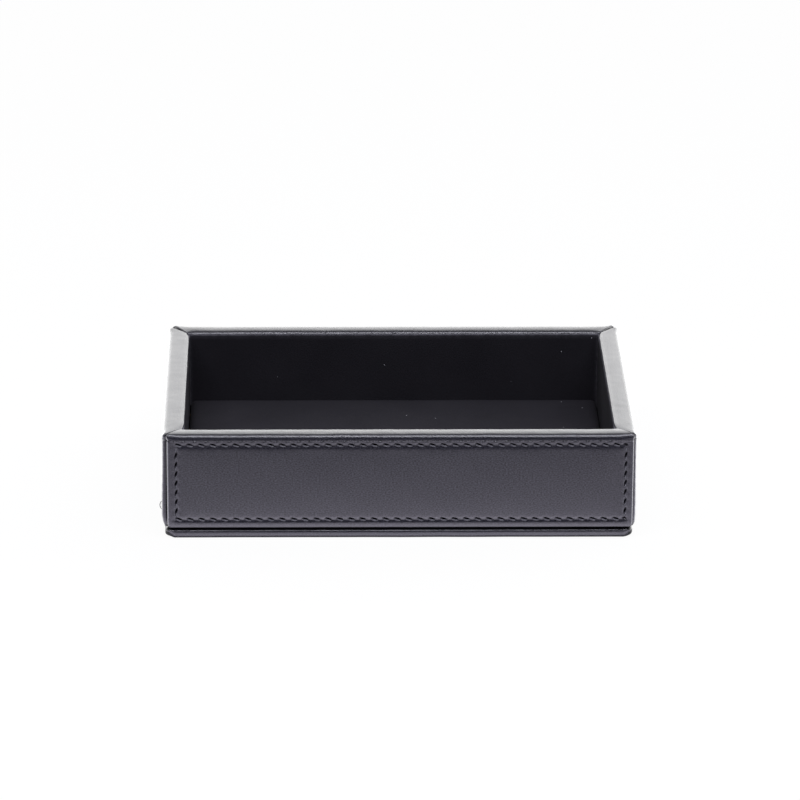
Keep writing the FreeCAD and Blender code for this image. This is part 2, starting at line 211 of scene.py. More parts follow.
def leather_relief(tree):
    """The creases, with pores between them."""
    place = node(tree, "ShaderNodeUVMap", uv_map="hide").outputs["UV"]
    pores = node(tree, "ShaderNodeTexNoise", {
        "Vector": place, "Scale": pattern_size(PORE), "Detail": 1.0,
    })
    crease_bump = node(tree, "ShaderNodeBump", {
        "Height": creases(tree), "Distance": CREASE_DEPTH * MM,
    })
    return node(tree, "ShaderNodeBump", {
        "Height": pores.outputs["Fac"], "Distance": PORE_DEPTH * MM,
        "Normal": crease_bump.outputs["Normal"],
    }).outputs["Normal"]


leather = surface(
    "finished_black_leather", leather_colour, leather_roughness, leather_relief,
    **{"Specular IOR Level": half_shine, "Coat Weight": shine, "Coat Roughness": 0.2, "Coat IOR": 1.5},
)


def lay_hide(piece, along, across):
    """Gives a piece its own surface coordinates, which the creases of the grain follow."""
    layer = piece.data.uv_layers.new(name="hide")
    corners = np.empty(len(piece.data.loops), dtype=int)
    piece.data.loops.foreach_get("vertex_index", corners)
    places = np.column_stack([np.ravel(along) * CREASE_STRETCH, np.ravel(across)])
    layer.data.foreach_set("uv", places[corners].ravel())


def paint(piece, name, values):
    """Stores one number per point for a material to read."""
    attribute = piece.data.attributes.new(name, "FLOAT", "POINT")
    attribute.data.foreach_set("value", np.asarray(values, dtype=float).ravel())


def waves(points, length, seed):
    """Gentle unevenness, mostly between -1 and 1, with hollows about this many millimetres apart."""
    random = np.random.default_rng(seed)
    total = np.zeros(points.shape[:-1])
    count = 7
    for _ in range(count):
        direction = random.normal(size=3)
        direction *= 2 * math.pi / (length * MM * np.linalg.norm(direction)) * random.uniform(0.7, 1.4)
        total += np.sin(points @ direction + random.uniform(0, 2 * math.pi))
    return total / math.sqrt(count) / 1.5


def grid_faces(rows, columns, wrap_rows=False, wrap_columns=False):
    """Quads between the points of a grid that is stored row by row."""
    faces = []
    for row in range(rows if wrap_rows else rows - 1):
        for column in range(columns if wrap_columns else columns - 1):
            next_row, next_column = (row + 1) % rows, (column + 1) % columns
            faces.append((
                row * columns + column, row * columns + next_column,
                next_row * columns + next_column, next_row * columns + column,
            ))
    return faces


def make_mesh(name, points, faces, material, angle=0.0):
    """A smooth, closed mesh with its faces outwards, turned about the tray's middle."""
    mesh = bpy.data.meshes.new(name)
    mesh.from_pydata([tuple(point) for point in points], [], faces)
    shape = bmesh.new()
    shape.from_mesh(mesh)
    bmesh.ops.recalc_face_normals(shape, faces=shape.faces)
    shape.to_mesh(mesh)
    shape.free()
    mesh.transform(Matrix.Rotation(math.radians(angle), 4, "Z"))
    mesh.polygons.foreach_set("use_smooth", [True] * len(mesh.polygons))
    mesh.materials.append(material)
    piece = bpy.data.objects.new(name, mesh)
    bpy.context.scene.collection.objects.link(piece)
    return piece


def fit(piece, slot, *replaced):
    """Puts a piece on the tray in the place of the solids that it is the finished form of."""
    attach(piece, "root")
    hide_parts(*replaced)


# Base plate
# A fibreboard plate with eased corners, in leather that is wrapped tightly round it and turned in
# underneath. The leather's upper edge slopes away under the walls, which leaves a dark V-shaped gap
# between the two, where the leather is painted near black as shade. Its lower edge is tight.
base_low, base_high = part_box("base_cover")
board_low, board_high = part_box("base_board")
BASE_FULLNESS = (0.3 * MM, 0.2 * MM)   # how far the leather stands out at the ends and at the sides
BASE_BENDS = (             # radius of each bend and its tilt at the start and the end
    (4.5 * MM, 0, 42), (0.22 * MM, 42, 65), (1.9 * MM, 65, 84), (4.0 * MM, 84, 98),
    (1.1 * MM, 98, 180),
)
BEND_STEPS = 8
BASE_CORNER = 3.3 * MM
BASE_RIPPLES = ((16, 0.06), (5, 0.02))    # length and height of the leather's unevenness, mm
CORNER_SHARPNESS = 0.6 * MM              # how much fuller the corners are at the top
CORNER_WEAR = (0.8 * MM, 0.4 * MM)       # and how much is missing at the bottom, left and right
BOARD_CORNER = 2.6 * MM
BOARD_EASE = 0.2 * MM      # rounding of the board's edges
GAP_SHADE_START = 0.3 * MM      # how far in the painted shade and the end of the finish coat start, how fast and how fully, in the gap
GAP_SHADE_FADE = 0.4 * MM
GAP_SHADE_MOST = 0.8


def rounded_rectangle(half_x, half_y, corner, spacing):
    """Points and outward directions round a rectangle with rounded corners, anticlockwise."""
    points, directions = [], []
    turns = 9
    for index, (sign_x, sign_y) in enumerate(((1, -1), (1, 1), (-1, 1), (-1, -1))):
        centre = np.array([sign_x * (half_x - corner), sign_y * (half_y - corner)])
        for step in range(turns):
            angle = math.radians(-90 + 90 * index + 90 * step / (turns - 1))
            direction = np.array([math.cos(angle), math.sin(angle)])
            points.append(centre + corner * direction)
            directions.append(direction)
        side = 2 * (half_y - corner) if index % 2 == 0 else 2 * (half_x - corner)
        count = int(side / spacing)
        along = np.array([-directions[-1][1], directions[-1][0]])
        start = points[-1]
        for step in range(1, count):
            points.append(start + along * side * step / count)
            directions.append(directions[-1])
    return np.array(points), np.array(directions)


def bent_section(bends, lowest, highest):
    """Insets and levels along a profile of round bends, from its highest to its lowest level."""
    places = [np.zeros(2)]
    for radius, first, last in bends:
        turn = (last - first) / BEND_STEPS
        for tilt in np.radians(first + turn * (np.arange(BEND_STEPS) + 0.5)):
            length = radius * math.radians(turn)
            places.append(places[-1] - length * np.array([math.cos(tilt), math.sin(tilt)]))
    insets, levels = np.array(places).T
    levels *= (highest - lowest) / (levels.max() - levels.min())
    return np.column_stack([insets - insets.min(), levels - levels.min() + lowest])


def stacked_rings(name, path, outwards, section, material, bulge=None):
    """A closed plate whose outline is drawn in by an inset at each level of a section."""
    points = np.array([
        np.column_stack([path - outwards * inset, np.full(len(path), level)]) for inset, level in section
    ])
    if bulge:
        points[:, :, :2] += outwards * bulge(points)[:, :, None]
    count = len(path)
    faces = grid_faces(len(section), count, wrap_columns=True)
    faces.append(tuple(range(count)))
    faces.append(tuple(range(len(section) * count - 1, (len(section) - 1) * count - 1, -1)))
    return make_mesh(name, points.reshape(-1, 3), faces, material)


def rippled(points, ripples, seed):
    """Unevenness made of ripples, each with a length and a height in millimetres."""
    return sum(
        height * MM * waves(points, length, seed + number)
        for number, (length, height) in enumerate(ripples)
    )


def lengths_along(line):
    """How far along a line each of its points is."""
    return np.cumsum(np.linalg.norm(np.diff(line, axis=0, prepend=line[:1]), axis=1))


def base_board():
    path, outwards = rounded_rectangle(board_high.x, board_high.y, BOARD_CORNER, 2.0 * MM)
    quarter = np.radians(np.linspace(0, 90, 4))
    section = [
        (BOARD_EASE * (1 - math.sin(a)), board_high.z - BOARD_EASE * (1 - math.cos(a))) for a in quarter
    ]
    section += [
        (BOARD_EASE * (1 - math.cos(a)), board_low.z + BOARD_EASE * (1 - math.sin(a))) for a in quarter
    ]
    return stacked_rings("base_board_plate", path, outwards, section, fibreboard)


def base_cover():
    half_x, half_y = base_high.x + BASE_FULLNESS[0], base_high.y + BASE_FULLNESS[1]
    path, outwards = rounded_rectangle(half_x, half_y, BASE_CORNER, 1.2 * MM)
    section = bent_section(BASE_BENDS, base_low.z, base_high.z)
    at_corner = 2 * np.abs(outwards[:, 0] * outwards[:, 1])
    worn = np.where(outwards[:, 0] < 0, *CORNER_WEAR)

    def unevenness(points):
        height = np.clip((points[:, :, 2] - base_low.z) / (board_high.z - base_low.z), 0, 1)
        corner = CORNER_SHARPNESS * height ** 2 - worn * (1 - height) ** 2
        return rippled(points, BASE_RIPPLES, 3) + at_corner * corner

    piece = stacked_rings("base_cover_leather", path, outwards, section, leather, unevenness)
    around, up = np.meshgrid(lengths_along(path), lengths_along(section))
    lay_hide(piece, around, up)
    paint(piece, "wear_and_highlight", np.zeros(len(section) * len(path)))
    # The leather in the gap is painted near black as shade, and loses its finish coat there
    in_gap = section[:, 1] > board_low.z
    gap_shade = np.clip((section[:, 0] - GAP_SHADE_START) / GAP_SHADE_FADE, 0, GAP_SHADE_MOST) * in_gap
    paint(piece, "hole", np.repeat(gap_shade, len(path)))
    return piece


fit(base_board(), "board", "base_board")
fit(base_cover(), "leather", "base_cover")


# Base felt
# Pressed black felt, glued under the plate over the leather's turned-in edges. It is what the tray
# stands on, so its lower side is flat, matt and lightly fuzzed.
felt_low, felt_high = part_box("base_felt")
FELT_FIBRE = 0.25         # width and depth of a fibre, mm, coarser than a real one so that it shows
FELT_DEPTH = 0.15
FELT_CORNER = 2.5 * MM
FELT_RAGGED = 0.12 * MM   # unevenness of the cut edge


def felt_relief(tree):
    """Matted fibres with no direction."""
    place = node(tree, "ShaderNodeTexCoord").outputs["Object"]
    fibres = node(tree, "ShaderNodeTexNoise", {
        "Vector": place, "Scale": pattern_size(FELT_FIBRE), "Detail": 6.0, "Distortion": 1.5,
    })
    return node(tree, "ShaderNodeBump", {
        "Height": fibres.outputs["Fac"], "Distance": FELT_DEPTH * MM,
    }).outputs["Normal"]


felt = surface(
    "pressed_black_felt", speckled("#1b1b1d", "#2b2b2e", 0.6), 0.95, felt_relief,
    **{"Sheen Weight": 0.35, "Sheen Roughness": 0.6},
)


def base_felt():
    path, outwards = rounded_rectangle(felt_high.x, felt_high.y, FELT_CORNER, 1.5 * MM)
    edge = np.column_stack([path, np.zeros(len(path))])
    path += outwards * FELT_RAGGED * waves(edge, 5, 5)[:, None]
    section = ((0, base_low.z), (0, felt_low.z))
    return stacked_rings("base_felt_sheet", path, outwards, section, felt)


felt_piece = base_felt()
fit(felt_piece, "felt", "base_felt")


# Velvet
# Short cut pile on a woven back, which swallows the light. Its colour holds painted light: darkest on
# the upright linings and where the floor meets them, as their shade, a little greyer on the open floor,
# which faces the light, and paler along the linings' ends and top edges. It holds a few specks of lint.
PILE = 0.35          # width and depth of one tuft, mm, coarser than real pile so that it shows
PILE_DEPTH = 0.12
STROKED = 22.0       # width of the stroked patches, mm
LINT_SPACING = 3.6   # mm
LINT_SIZE = 0.055    # share of the spacing
LINT_SHARE = 0.25    # how many of the places hold a speck


def velvet_colour(tree):
    """Near black, with painted light that greys the open floor and darkens the linings, with lint and paler
    edges.
    """
    place = node(tree, "ShaderNodeTexCoord").outputs["Object"]
    patches = node(tree, "ShaderNodeTexNoise", {
        "Vector": place, "Scale": pattern_size(STROKED), "Detail": 3.0,
    })
    # Painted light: a darker, shaded colour and a greyer, lit colour of the same velvet
    shaded_pile = node(tree, "ShaderNodeMix", {
        "Factor": patches.outputs["Fac"], "A": linear("#222125"), "B": linear("#2e2d31"),
    }, data_type="RGBA")
    lit_pile = node(tree, "ShaderNodeMix", {
        "Factor": patches.outputs["Fac"], "A": linear("#28272b"), "B": linear("#333236"),
    }, data_type="RGBA")
    painted_light = node(tree, "ShaderNodeAttribute", attribute_name="painted_light")
    pile = node(tree, "ShaderNodeMix", {
        "Factor": painted_light.outputs["Fac"], "A": shaded_pile.outputs["Result"], "B": lit_pile.outputs["Result"],
    }, data_type="RGBA")
    lint_place = node(tree, "ShaderNodeTexVoronoi", {
        "Vector": place, "Scale": pattern_size(LINT_SPACING), "Randomness": 1.0,
    })
    near = node(tree, "ShaderNodeMath", {
        0: lint_place.outputs["Distance"], 1: LINT_SIZE,
    }, operation="LESS_THAN")
    draw = node(tree, "ShaderNodeSeparateColor", {"Color": lint_place.outputs["Color"]})
    few = node(tree, "ShaderNodeMath", {0: draw.outputs["Red"], 1: LINT_SHARE}, operation="LESS_THAN")
    speck = node(tree, "ShaderNodeMath", {0: near.outputs[0], 1: few.outputs[0]}, operation="MULTIPLY")
    dusted = node(tree, "ShaderNodeMix", {
        "Factor": speck.outputs[0], "A": pile.outputs["Result"], "B": linear("#a5a5aa"),
    }, data_type="RGBA")
    edge = node(tree, "ShaderNodeAttribute", attribute_name="pale_edge")
    return node(tree, "ShaderNodeMix", {
        "Factor": edge.outputs["Fac"], "A": dusted.outputs["Result"], "B": linear("#7b7a82"),
    }, data_type="RGBA").outputs["Result"]


def velvet_relief(tree):
    """Tufts of pile."""
    place = node(tree, "ShaderNodeTexCoord").outputs["Object"]
    tufts = node(tree, "ShaderNodeTexNoise", {
        "Vector": place, "Scale": pattern_size(PILE), "Detail": 5.0,
    })
    return node(tree, "ShaderNodeBump", {
        "Height": tufts.outputs["Fac"], "Distance": PILE_DEPTH * MM,
    }).outputs["Normal"]


velvet = surface(
    "black_cut_velvet", velvet_colour, 1.0, velvet_relief,
    **{"Sheen Weight": 0.02, "Sheen Roughness": 0.5, "Specular IOR Level": 0.0},
)


# Padded floor
# Velvet drawn over thin foam on a card and pushed down between the linings: a low pillow with
# rounded edges, so a dark line runs round it where it dips against the walls, deepened by painted shade.
floor_low, floor_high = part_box("floor_lining")
FLOOR_EDGE = 2.4 * MM
FLOOR_CROWN = 0.5 * MM
FLOOR_RIPPLE = 0.1 * MM
SHADED_EDGE = 4.0 * MM   # how far in from the edge the floor is painted darker, as the walls' shade


def pillow_steps(half):
    """Distances from the middle to one edge, closer together on the rounded edge."""
    quarter = np.radians(np.linspace(0, 90, 8))
    flat = np.linspace(0, half - FLOOR_EDGE, int(half / (1.2 * MM)))
    return np.concatenate([flat[:-1], half - FLOOR_EDGE + FLOOR_EDGE * np.sin(quarter)])


def floor_pad():
    positive_x, positive_y = pillow_steps(floor_high.x), pillow_steps(floor_high.y)
    across = np.concatenate([-positive_x[:0:-1], positive_x])
    along = np.concatenate([-positive_y[:0:-1], positive_y])
    x, y = np.meshgrid(across, along)
    reach_x = np.clip((np.abs(x) - (floor_high.x - FLOOR_EDGE)) / FLOOR_EDGE, 0, 1)
    reach_y = np.clip((np.abs(y) - (floor_high.y - FLOOR_EDGE)) / FLOOR_EDGE, 0, 1)
    reach = np.clip(np.hypot(reach_x, reach_y), 0, 1)
    fall = FLOOR_EDGE * (1 - np.sqrt(1 - reach ** 2))
    crown = FLOOR_CROWN * (1 - (x / floor_high.x) ** 2) * (1 - (y / floor_high.y) ** 2)
    level = floor_high.z - FLOOR_CROWN
    top = np.stack([x, y, level + crown - fall], axis=-1)
    top[:, :, 2] += FLOOR_RIPPLE * waves(top, 26, 11) * (1 - reach)
    rows, columns = x.shape
    faces = grid_faces(rows, columns)
    rim = list(range(columns))
    rim += [row * columns + columns - 1 for row in range(1, rows)]
    rim += [(rows - 1) * columns + column for column in range(columns - 2, -1, -1)]
    rim += [row * columns for row in range(rows - 2, 0, -1)]
    points = list(top.reshape(-1, 3))
    first = len(points)
    for index in rim:
        points.append(np.array([points[index][0], points[index][1], floor_low.z]))
    for index in range(len(rim)):
        following = (index + 1) % len(rim)
        faces.append((rim[index], rim[following], first + following, first + index))
    faces.append(tuple(range(first, len(points))))
    piece = make_mesh("floor_velvet_pad", points, faces, velvet)
    # Painted light: darker near the walls, as their shade, lighter on the open floor
    inward = np.minimum(floor_high.x - np.abs(x), floor_high.y - np.abs(y)).ravel()
    painted_light = np.concatenate([np.clip(inward / SHADED_EDGE, 0, 1) ** 1.5, np.zeros(len(rim))])
    paint(piece, "painted_light", painted_light)
    paint(piece, "pale_edge", np.zeros(len(points)))
    return piece


floor_piece = floor_pad()
fit(floor_piece, "velvet", "floor_lining")


# Wall linings
# Velvet wrapped round thin card and glued inside each wall, from the floor to just under the rim.
# The card's ends meet in the corners, and the velvet is paler along its ends and its top edge.
cover_low, cover_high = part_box("front_cover")
lining_low, lining_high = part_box("front_lining")
_, right_cover_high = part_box("right_cover")
SIDE_SWELL = 0.28 * MM
HALF_LENGTH = right_cover_high.x + SIDE_SWELL
RUNS = {                      # each wall's turn, its length and how far out its outer face stands
    "front": (0, 2 * HALF_LENGTH, -cover_low.y),
    "right": (90, -2 * cover_low.y, HALF_LENGTH),
    "back": (180, 2 * HALF_LENGTH, -cover_low.y),
    "left": (270, -2 * cover_low.y, HALF_LENGTH),
}
PANEL = cover_high.y - cover_low.y      # thickness of a wall without its lining
LINING = lining_high.y - lining_low.y   # and of the lining
LINING_EDGE = 0.25 * MM
END_GAP = 0.03 * MM           # between a lining's end and the next lining
PALE_EDGE_WIDTH = 0.35 * MM          # width of the paler line, and how pale it is at the ends and on top
END_PALENESS, TOP_PALENESS = 0.5, 0.6
CARD_WARP = 0.05 * MM
FUZZ, FUZZ_REACH = 0.04 * MM, 0.8 * MM   # unevenness of the pile at the top edge


def wall_lining(side, seed):
    angle, run, stand_off = RUNS[side]
    bottom, top = lining_low.z, lining_high.z
    back, front = PANEL, PANEL + LINING
    quarter = np.radians(np.linspace(0, 90, 4))
    section = [(back, level) for level in np.linspace(bottom, top - LINING_EDGE, 3)]
    section += [
        (back + LINING_EDGE * (1 - math.cos(a)), top - LINING_EDGE * (1 - math.sin(a))) for a in quarter[1:]
    ]
    section += [
        (front - LINING_EDGE * (1 - math.sin(a)), top - LINING_EDGE * (1 - math.cos(a))) for a in quarter
    ]
    section += [(front, level) for level in np.linspace(top - 2 * LINING_EDGE, bottom, 22)]
    columns = int(run / (0.6 * MM))
    share = np.linspace(-1, 1, columns)
    rows, ends = [], []
    for depth, level in section:
        half = run / 2 - depth - END_GAP
        x = share * half
        rows.append(np.column_stack([x, np.full(columns, depth - stand_off), np.full(columns, level)]))
        ends.append(END_PALENESS * np.exp(-(half - np.abs(x)) / PALE_EDGE_WIDTH))
    points = np.array(rows)
    fuzz = waves(points, 2.2, seed) + 0.6 * waves(points, 0.9, seed + 1)
    near_top = np.exp(-(top - points[:, :, 2]) / FUZZ_REACH)
    pile_side = points[:, :, 1] > front - stand_off - 0.1 * MM
    points[:, :, 1] += CARD_WARP * waves(points, 30, seed + 2) * pile_side
    points[:, :, 2] += FUZZ * fuzz * near_top
    faces = grid_faces(len(section), columns, wrap_rows=True)
    faces.append(tuple(row * columns for row in range(len(section))))
    faces.append(tuple(row * columns + columns - 1 for row in range(len(section) - 1, -1, -1)))
    piece = make_mesh(f"{side}_lining_velvet", points.reshape(-1, 3), faces, velvet, angle)
    patchy = np.clip(0.55 + 0.6 * waves(points, 3.0, seed + 3), 0, 1)
    # Paler along the ends and the top edge
    top_edge = TOP_PALENESS * np.exp(-(top - points[:, :, 2]) / PALE_EDGE_WIDTH)
    paint(piece, "pale_edge", np.clip(np.maximum(ends, top_edge) * (0.5 + 0.5 * patchy), 0, 1))
    # The upright linings take the darker, shaded colour of the painted light
    paint(piece, "painted_light", np.zeros(len(section) * columns))
    return piece


for seed, side in enumerate(SIDES):
    fit(wall_lining(side, 20 + 10 * seed), "velvet", f"{side}_lining")


# Wall covers
# One piece of leather per wall, wrapped round board and foam, over the rim and down the inside.
# The foam swells it, the stitching pulls it in, and the ends tuck into the mitres in a soft fold
# that stands up in a small point at each outer corner.
RIM = 2.0 * MM             # outer rounding of the rim
RIM_AT_CORNER = 1.3 * MM   # the same, where the leather is folded to a point
RIM_STEEPNESS = 1.1        # height of the rounding against its depth
RIM_START = 10.0           # tilt in degrees at which the roundings begin, as the top is crowned
TOP_CROWN = 0.16 * MM
CORNER_REACH = 6.0 * MM    # how far from the mitre the outer and the inner rounding change
INNER_REACH = 3.0 * MM
INNER_AT_CORNER = 1.0 * MM   # inner rounding of the rim at the mitres, and along each wall
INNER_RIM = {"front": 1.45 * MM, "right": 0.6 * MM, "back": 1.8 * MM, "left": 0.6 * MM}
OUTER_RISE = {"front": 0.0, "right": 0.0, "back": 0.12 * MM, "left": 0.0}
FOOT_DEPTH = 0.8 * MM      # how far the leather draws in at the bottom edge
FOOT_HEIGHT = 2.3 * MM
FULL_FOOT = {"front": 0.0, "right": 0.2 * MM, "back": 0.0, "left": 0.33 * MM}
FULL_LEVELS = (34 * MM, 10 * MM)       # levels between which the outer face grows that much fuller
DRAWN_FOOT = {"front": 0.0, "right": 0.2 * MM, "back": 0.0, "left": 0.6 * MM}
DRAWN_HEIGHT = 4.7 * MM                # height over which it is drawn in again
FOLDS = {                  # radii of the folded ends, at the lower and upper end of each run
    "front": (1.1 * MM, 0.7 * MM), "right": (1.1 * MM, 1.1 * MM),
    "back": (0.7 * MM, 0.7 * MM), "left": (1.1 * MM, 1.1 * MM),
}
TUCK = 2.0 * MM            # how far a folded end goes down into the mitre
TIP_REACH = 2.5 * MM       # how long the raised tips are
CORNER_LIFTS = {           # how far the tips stand up, at the two ends of each run
    "front": (0.3 * MM, 0.3 * MM), "right": (0.1 * MM, 0.4 * MM),
    "back": (0.4 * MM, 0.4 * MM), "left": (0.4 * MM, 0.1 * MM),
}
TOP_FOLDS = {              # how much of each fold's radius is left on the top
    "front": (0.35, 0.35), "right": (0.35, 0.8), "back": (0.8, 0.8), "left": (0.8, 0.35),
}
INNER_BULGE = {            # how far the inner edge of the rim bulges inwards
    "front": 0.0, "right": 0.45 * MM, "back": -0.15 * MM, "left": 0.6 * MM,
}
FOLD_STEPS = np.linspace(0, 1, 15)
FOLD_CREST = 0.3           # where along a fold a highlight is painted, how widely and how strongly
FOLD_CREST_WIDTH = 0.08
FOLD_HIGHLIGHT = 0.9
SEAM_WEAR, SEAM_WEAR_REACH = 0.1, 1.5 * MM      # the leather is also rubbed along the mitres
SEAM_DIP, SEAM_DIP_REACH = 0.2 * MM, 1.8 * MM   # the side walls' rims dip at the mitres
END_ZONE = 12.0 * MM       # length over which the columns of points turn to follow the mitre
THREAD = 0.8 * MM          # thickness of the solid stitches that give the lines their places
stitch_low, stitch_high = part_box("front_stitching")
COLUMN_INSET = HALF_LENGTH - stitch_high.x + THREAD / 2
ROW_DROPS = (0.2 * MM, 0.4 * MM)      # the rows are sewn a little low
ROW_LEVELS = (stitch_low.z + THREAD / 2 - ROW_DROPS[0], stitch_high.z - THREAD / 2 - ROW_DROPS[1])
SEWN_OFF_CENTRE = {"front": 0.55 * MM, "right": 0.0, "back": 0.0, "left": 0.0}
ROW_STITCHES = {"front": 39, "back": 39, "left": 27, "right": 27}
COLUMN_STITCHES = 8
FINE, COARSE = 0.2 * MM, 0.7 * MM     # spacing of the points round the holes and elsewhere
GROOVE_DEPTH = 0.36 * MM
GROOVE_WIDTH = 0.68 * MM
CROWN = 0.3 * MM           # how far the foam pushes the middle of a panel out
CROWN_END = 10 * MM        # how far from its ends it is at its fullest
COVER_RIPPLES = ((14, 0.04), (4, 0.015))   # length and height of the leather's unevenness, mm
FACE_RIPPLE = 0.012 * MM
PANEL_RIPPLE = 0.06 * MM   # inside the stitching the face is less even, but for a narrow edge
PANEL_EDGE = 4 * MM
PUCKER = 0.06 * MM         # height of the ridges that the thread pulls up beside the groove
PUCKER_PLACE, PUCKER_WIDTH = 1.1 * MM, 0.5 * MM   # how far from the thread they are, and how wide
LINE_END, LINE_FADE = 0.8 * MM, 0.5 * MM   # how far past its last stitch a line is felt
HOLE_LENGTH = 1.1 * MM
HOLE_WIDTH = 0.3 * MM
HOLE_DEPTH = 0.5 * MM
HOLE_SHIFT = 0.75 * MM     # the first hole of a row is this far from the corner
HOLE_REACH = 1.15 * MM     # how far round a hole the points are close together
HOLE_OFFSET = 0.4 * MM     # the slots lie on the upper side of the thread
HOLE_SLANT = math.radians(20)


def smooth(value):
    """Rises gently from 0 to 1 as the value does."""
    value = np.clip(value, 0, 1)
    return value * value * (3 - 2 * value)


def spaced_round_holes(holes, low, high):
    """Positions from low up to high, closer together round the holes."""
    positions = [low]
    while positions[-1] < high - FINE:
        near = np.abs(holes - positions[-1]).min() < HOLE_REACH
        positions.append(positions[-1] + (FINE if near else COARSE))
    return np.array(positions)


def row_holes(side):
    """Where the holes of a row are along the wall: evenly spaced, with one more in the far corner."""
    half = RUNS[side][1] / 2 - COLUMN_INSET
    spacing = 2 * half / ROW_STITCHES[side]
    return np.append(-half + HOLE_SHIFT + spacing * np.arange(ROW_STITCHES[side]), half)


def column_holes():
    """The levels of the holes between the two rows."""
    return np.linspace(*ROW_LEVELS, COLUMN_STITCHES + 1)[1:-1]


def hole_shape(along, across):
    """One slanting slot where the thread goes through, from 0 round it to 1 in it."""
    length = along * math.cos(HOLE_SLANT) - across * math.sin(HOLE_SLANT)
    width = along * math.sin(HOLE_SLANT) + across * math.cos(HOLE_SLANT)
    return np.exp(-((length / HOLE_LENGTH) ** 2 + (width / HOLE_WIDTH) ** 2) ** 1.5)


def from_hole(position, holes):
    """How far each point is from the nearest hole along a line of stitches."""
    nearest = np.abs(position[..., None] - holes).argmin(axis=-1)
    return position - holes[nearest]


def face_relief(x, z, run, side, seed):
    """How far the leather of the outer face stands out from the flat, and where it has holes."""
    half = run / 2 - COLUMN_INSET
    low, high = ROW_LEVELS
    x = x - SEWN_OFF_CENTRE[side]
    beyond_x = np.abs(x) - half
    beyond_z = np.maximum(z - high, low - z)
    outside = np.hypot(np.maximum(beyond_x, 0), np.maximum(beyond_z, 0))
    inside = np.minimum(np.maximum(-beyond_x, 0), np.maximum(-beyond_z, 0))
    distance = np.where((beyond_x > 0) | (beyond_z > 0), outside, inside)
    place = np.stack([x, np.zeros_like(x), z], axis=-1)
    middle, half_height = (low + high) / 2, (high - low) / 2
    swell = np.clip(1 - ((z - middle) / half_height) ** 2, 0, 1) * smooth(-beyond_x / CROWN_END)
    relief = CROWN * swell - GROOVE_DEPTH * np.exp(-(distance / GROOVE_WIDTH) ** 2)
    relief += PANEL_RIPPLE * waves(place, 24, seed) * smooth(inside / PANEL_EDGE)
    relief += FACE_RIPPLE * waves(place, 5, seed + 1)
    along_row, along_column = from_hole(x, row_holes(side)), from_hole(z, column_holes())
    row_spacing, column_spacing = 2 * half / ROW_STITCHES[side], (high - low) / COLUMN_STITCHES
    lines = [(along_row, row_spacing, z - level, HOLE_OFFSET, beyond_x) for level in (low, high)]
    lines += [(along_column, column_spacing, end - x, 0, beyond_z) for end in (-half, half)]
    holes = np.zeros_like(x)
    for along, spacing, across, offset, beyond in lines:
        within = smooth((LINE_END - beyond) / LINE_FADE)
        ridge = np.exp(-((np.abs(across) - PUCKER_PLACE) / PUCKER_WIDTH) ** 2)
        relief -= PUCKER * np.cos(2 * math.pi * along / spacing) * ridge * within
        holes = np.maximum(holes, hole_shape(along, across - offset) * within)
    return relief - HOLE_DEPTH * holes, holes


def cover_rows():
    """The section of a panel as rows from under the foot, up the face and over the rim."""
    low, high = ROW_LEVELS
    top = cover_high.z - RIM_STEEPNESS * RIM
    levels = np.concatenate([
        spaced_round_holes(np.array([low, *column_holes(), high]), cover_low.z + FOOT_HEIGHT, top)[1:],
        [top],
    ])
    rows = [("foot", angle) for angle in np.linspace(-90, 0, 10)]
    rows += [("face", level) for level in levels]
    rows += [("rim", tilt) for tilt in np.linspace(90, RIM_START, 16)]
    rows += [("top", share) for share in np.linspace(0, 1, 9)[1:-1]]
    rows += [("inner_rim", tilt) for tilt in np.linspace(RIM_START, 90, 9)]
    rows += [("inside", share) for share in (0.15, 0.5, 1.0)]
    rows += [("under", 0.5)]
    return rows


def section_point(row, rim, inner):
    """Distance in from the face, level, and outward direction of a row for two edge roundings."""
    kind, value = row
    top = cover_high.z
    zero = np.zeros_like(rim)
    angle = math.radians(value) if kind in ("foot", "rim", "inner_rim") else 0.0
    if kind == "foot":
        away, up = math.cos(angle) / FOOT_DEPTH, math.sin(angle) / FOOT_HEIGHT
        away, up = away / math.hypot(away, up), up / math.hypot(away, up)
        depth = FOOT_DEPTH * (1 - math.cos(angle))
        level = cover_low.z + FOOT_HEIGHT * (1 + math.sin(angle))
        return zero + depth, zero + level, zero - away, zero + up
    if kind == "face":
        return zero, zero + value, zero - 1, zero
    crest = math.radians(RIM_START)
    if kind == "rim":
        height = RIM_STEEPNESS * rim
        away, up = math.sin(angle) / rim, math.cos(angle) / height
        size = np.hypot(away, up)
        level = top - TOP_CROWN - height * (math.cos(crest) - math.cos(angle))
        return rim * (1 - math.sin(angle)), level, -away / size, up / size
    if kind == "top":
        start, end = rim * (1 - math.sin(crest)), PANEL - inner * (1 - math.sin(crest))
        tilt = crest * (2 * value - 1)
        level = top - TOP_CROWN * (2 * value - 1) ** 2
        return start + value * (end - start), zero + level, zero + tilt, zero + 1
    if kind == "inner_rim":
        inwards, up = math.sin(angle), math.cos(angle)
        level = top - TOP_CROWN - inner * (math.cos(crest) - up)
        return PANEL - inner * (1 - inwards), level, zero + inwards, zero + up
    if kind == "inside":
        inner_edge = top - TOP_CROWN - inner * math.cos(crest)
        return zero + PANEL, inner_edge - value * (inner_edge - cover_low.z), zero + 1, zero
    return zero + FOOT_DEPTH + value * (PANEL - FOOT_DEPTH), zero + cover_low.z, zero, zero - 1


